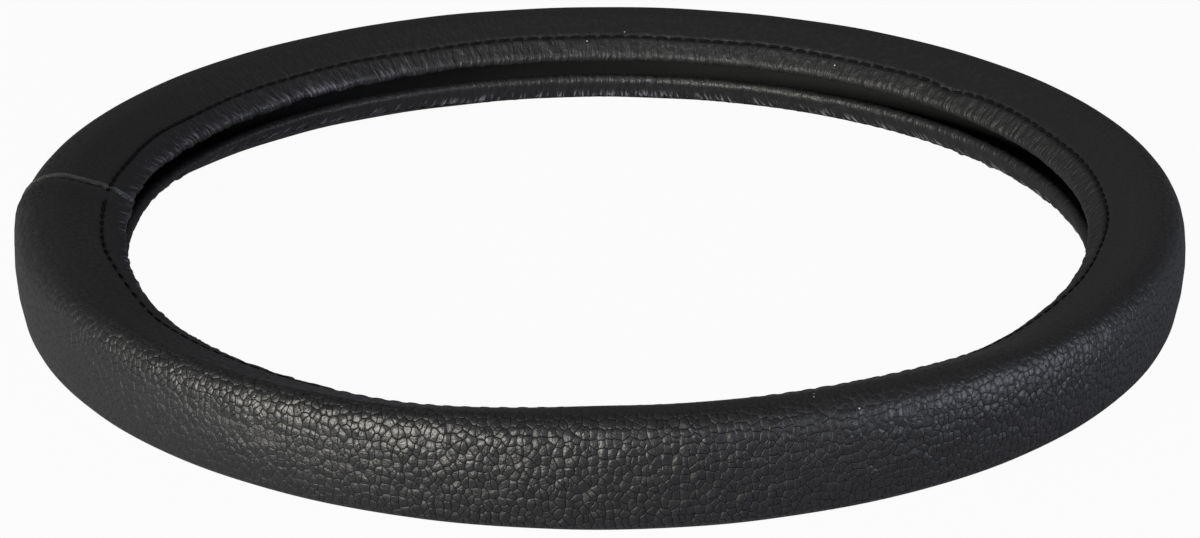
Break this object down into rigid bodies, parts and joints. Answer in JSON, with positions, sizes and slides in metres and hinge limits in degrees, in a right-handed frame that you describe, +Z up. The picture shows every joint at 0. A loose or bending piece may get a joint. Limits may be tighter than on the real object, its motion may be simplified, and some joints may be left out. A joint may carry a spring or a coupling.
{
  "type": "steering wheel cover",
  "caption": "Slip-on steering wheel cover: a rubber ring with a C-shaped section wrapped in stitched leatherette, gathered round the lips of its inner mouth.",
  "frame": {"origin": "centre of the ring, level with the mouth between its two lips", "axes": "+Z up along the ring's axis, away from the flat underside that it lies on; the cross seam is at -X"},
  "size_m": [0.3806, 0.38, 0.0357],
  "materials": {
    "leatherette": "black pebble-grained leatherette",
    "moulded_rubber": "matt moulded",
    "sewing_thread": "black bonded thread"
  },
  "bodies": {
    "root": {"rubber_core_ring": "moulded_rubber", "leather_cover": "leatherette", "upper_hem_stitching": "sewing_thread", "lower_hem_stitching": "sewing_thread", "cross_seam_stitching": "sewing_thread"}
  },
  "joints": []
}
